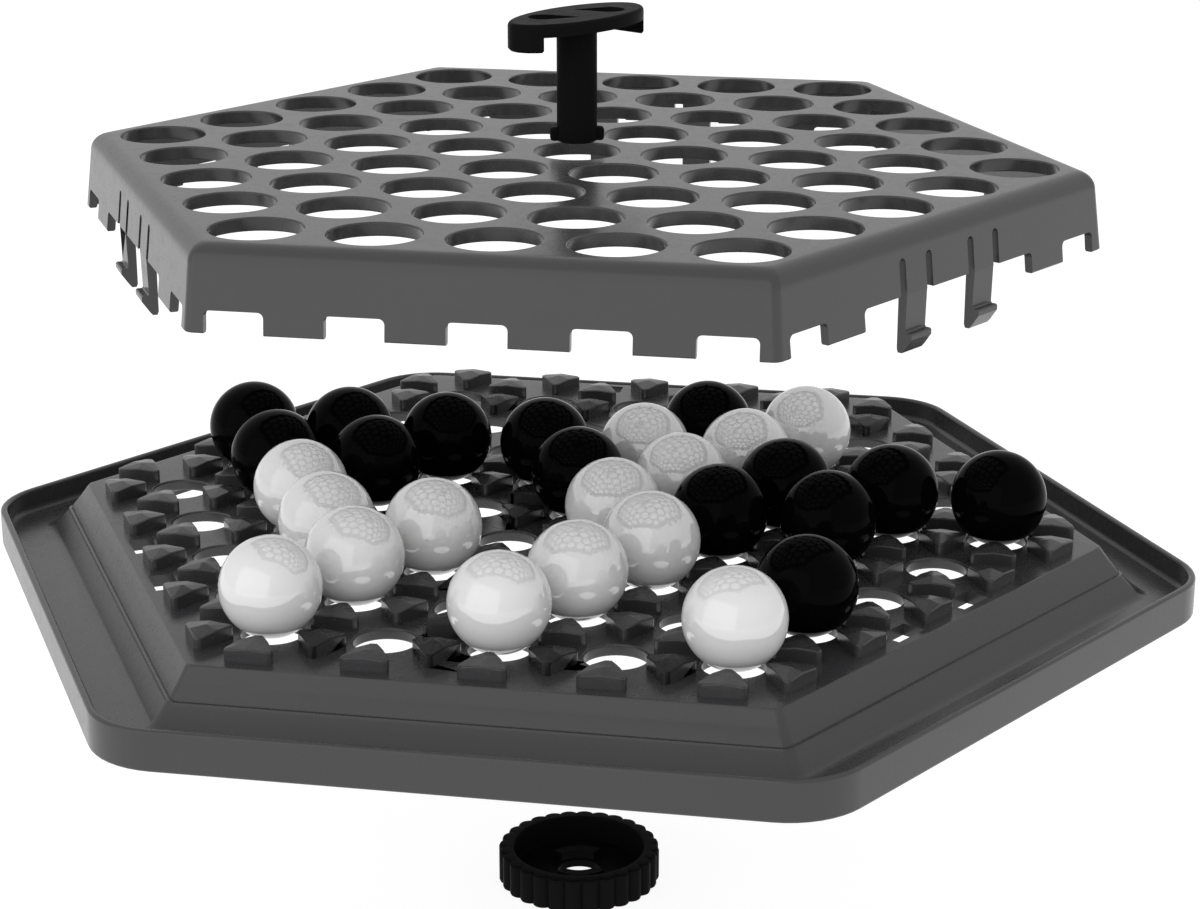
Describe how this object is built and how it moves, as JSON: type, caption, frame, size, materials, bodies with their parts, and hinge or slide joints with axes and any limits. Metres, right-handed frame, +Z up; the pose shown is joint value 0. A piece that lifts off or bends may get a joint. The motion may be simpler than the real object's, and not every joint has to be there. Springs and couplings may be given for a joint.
{
  "type": "hexagonal marble-pushing board game",
  "caption": "Hexagonal board game shown opened out: a dimpled base tray with white and black marbles, a pierced cover above it, and a locking key and ring nut on the same axis.",
  "frame": {"origin": "on the upright axis through the middle place of the board, at the underside of the ring nut, which stands on the table", "axes": "+Z up; rows of places run along X; the player's side of the board faces -Y"},
  "size_m": [0.3158, 0.279, 0.2349],
  "materials": {
    "board_plastic": "glossy moulded dark grey plastic",
    "lock_plastic": "satin moulded black plastic",
    "white_marble": "polished white",
    "black_marble": "polished black"
  },
  "bodies": {
    "ring_nut": {"ring_nut": "lock_plastic"},
    "base_tray": {"base_tray": "board_plastic"},
    "cover": {"cover": "board_plastic"},
    "locking_key": {"locking_key": "lock_plastic"},
    "white_marble_01": {"white_marble_01": "white_marble"},
    "white_marble_02": {"white_marble_02": "white_marble"},
    "white_marble_03": {"white_marble_03": "white_marble"},
    "white_marble_04": {"white_marble_04": "white_marble"},
    "white_marble_05": {"white_marble_05": "white_marble"},
    "white_marble_06": {"white_marble_06": "white_marble"},
    "white_marble_07": {"white_marble_07": "white_marble"},
    "white_marble_08": {"white_marble_08": "white_marble"},
    "white_marble_09": {"white_marble_09": "white_marble"},
    "white_marble_10": {"white_marble_10": "white_marble"},
    "white_marble_11": {"white_marble_11": "white_marble"},
    "white_marble_12": {"white_marble_12": "white_marble"},
    "white_marble_13": {"white_marble_13": "white_marble"},
    "white_marble_14": {"white_marble_14": "white_marble"},
    "black_marble_01": {"black_marble_01": "black_marble"},
    "black_marble_02": {"black_marble_02": "black_marble"},
    "black_marble_03": {"black_marble_03": "black_marble"},
    "black_marble_04": {"black_marble_04": "black_marble"},
    "black_marble_05": {"black_marble_05": "black_marble"},
    "black_marble_06": {"black_marble_06": "black_marble"},
    "black_marble_07": {"black_marble_07": "black_marble"},
    "black_marble_08": {"black_marble_08": "black_marble"},
    "black_marble_09": {"black_marble_09": "black_marble"},
    "black_marble_10": {"black_marble_10": "black_marble"},
    "black_marble_11": {"black_marble_11": "black_marble"},
    "black_marble_12": {"black_marble_12": "black_marble"},
    "black_marble_13": {"black_marble_13": "black_marble"},
    "black_marble_14": {"black_marble_14": "black_marble"}
  },
  "joints": [
    {"name": "cover_lift", "type": "slide", "parent": "base_tray", "child": "cover", "axis": [0, 0, 1], "range_m": [-0.076, 0]},
    {"name": "key_lift", "type": "slide", "parent": "cover", "child": "locking_key", "axis": [0, 0, 1], "range_m": [-0.0308, 0]},
    {"name": "nut_drop", "type": "slide", "parent": "base_tray", "child": "ring_nut", "axis": [0, 0, -1], "range_m": [-0.092, 0]},
    {"name": "white_marble_01_lift", "type": "slide", "parent": "base_tray", "child": "white_marble_01", "axis": [0, 0, 1], "range_m": [0, 0.03]},
    {"name": "white_marble_02_lift", "type": "slide", "parent": "base_tray", "child": "white_marble_02", "axis": [0, 0, 1], "range_m": [0, 0.03]},
    {"name": "white_marble_03_lift", "type": "slide", "parent": "base_tray", "child": "white_marble_03", "axis": [0, 0, 1], "range_m": [0, 0.03]},
    {"name": "white_marble_04_lift", "type": "slide", "parent": "base_tray", "child": "white_marble_04", "axis": [0, 0, 1], "range_m": [0, 0.03]},
    {"name": "white_marble_05_lift", "type": "slide", "parent": "base_tray", "child": "white_marble_05", "axis": [0, 0, 1], "range_m": [0, 0.03]},
    {"name": "white_marble_06_lift", "type": "slide", "parent": "base_tray", "child": "white_marble_06", "axis": [0, 0, 1], "range_m": [0, 0.03]},
    {"name": "white_marble_07_lift", "type": "slide", "parent": "base_tray", "child": "white_marble_07", "axis": [0, 0, 1], "range_m": [0, 0.03]},
    {"name": "white_marble_08_lift", "type": "slide", "parent": "base_tray", "child": "white_marble_08", "axis": [0, 0, 1], "range_m": [0, 0.03]},
    {"name": "white_marble_09_lift", "type": "slide", "parent": "base_tray", "child": "white_marble_09", "axis": [0, 0, 1], "range_m": [0, 0.03]},
    {"name": "white_marble_10_lift", "type": "slide", "parent": "base_tray", "child": "white_marble_10", "axis": [0, 0, 1], "range_m": [0, 0.03]},
    {"name": "white_marble_11_lift", "type": "slide", "parent": "base_tray", "child": "white_marble_11", "axis": [0, 0, 1], "range_m": [0, 0.03]},
    {"name": "white_marble_12_roll", "type": "hinge", "parent": "base_tray", "child": "white_marble_12", "pos_m": [0.00675, 0.03507, 0.10619], "axis": [0.866, 0.5, 0], "range_deg": [-108.49, 0]},
    {"name": "white_marble_13_lift", "type": "slide", "parent": "base_tray", "child": "white_marble_13", "axis": [0, 0, 1], "range_m": [0, 0.03]},
    {"name": "white_marble_14_lift", "type": "slide", "parent": "base_tray", "child": "white_marble_14", "axis": [0, 0, 1], "range_m": [0, 0.03]},
    {"name": "black_marble_01_lift", "type": "slide", "parent": "base_tray", "child": "black_marble_01", "axis": [0, 0, 1], "range_m": [0, 0.03]},
    {"name": "black_marble_02_lift", "type": "slide", "parent": "base_tray", "child": "black_marble_02", "axis": [0, 0, 1], "range_m": [0, 0.03]},
    {"name": "black_marble_03_lift", "type": "slide", "parent": "base_tray", "child": "black_marble_03", "axis": [0, 0, 1], "range_m": [0, 0.03]},
    {"name": "black_marble_04_lift", "type": "slide", "parent": "base_tray", "child": "black_marble_04", "axis": [0, 0, 1], "range_m": [0, 0.03]},
    {"name": "black_marble_05_lift", "type": "slide", "parent": "base_tray", "child": "black_marble_05", "axis": [0, 0, 1], "range_m": [0, 0.03]},
    {"name": "black_marble_06_roll", "type": "hinge", "parent": "base_tray", "child": "black_marble_06", "pos_m": [-0.0135, 0, 0.10619], "axis": [0, 1, 0], "range_deg": [-108.49, 0]},
    {"name": "black_marble_07_lift", "type": "slide", "parent": "base_tray", "child": "black_marble_07", "axis": [0, 0, 1], "range_m": [0, 0.03]},
    {"name": "black_marble_08_lift", "type": "slide", "parent": "base_tray", "child": "black_marble_08", "axis": [0, 0, 1], "range_m": [0, 0.03]},
    {"name": "black_marble_09_lift", "type": "slide", "parent": "base_tray", "child": "black_marble_09", "axis": [0, 0, 1], "range_m": [0, 0.03]},
    {"name": "black_marble_10_lift", "type": "slide", "parent": "base_tray", "child": "black_marble_10", "axis": [0, 0, 1], "range_m": [0, 0.03]},
    {"name": "black_marble_11_lift", "type": "slide", "parent": "base_tray", "child": "black_marble_11", "axis": [0, 0, 1], "range_m": [0, 0.03]},
    {"name": "black_marble_12_lift", "type": "slide", "parent": "base_tray", "child": "black_marble_12", "axis": [0, 0, 1], "range_m": [0, 0.03]},
    {"name": "black_marble_13_lift", "type": "slide", "parent": "base_tray", "child": "black_marble_13", "axis": [0, 0, 1], "range_m": [0, 0.03]},
    {"name": "black_marble_14_lift", "type": "slide", "parent": "base_tray", "child": "black_marble_14", "axis": [0, 0, 1], "range_m": [0, 0.03]}
  ]
}
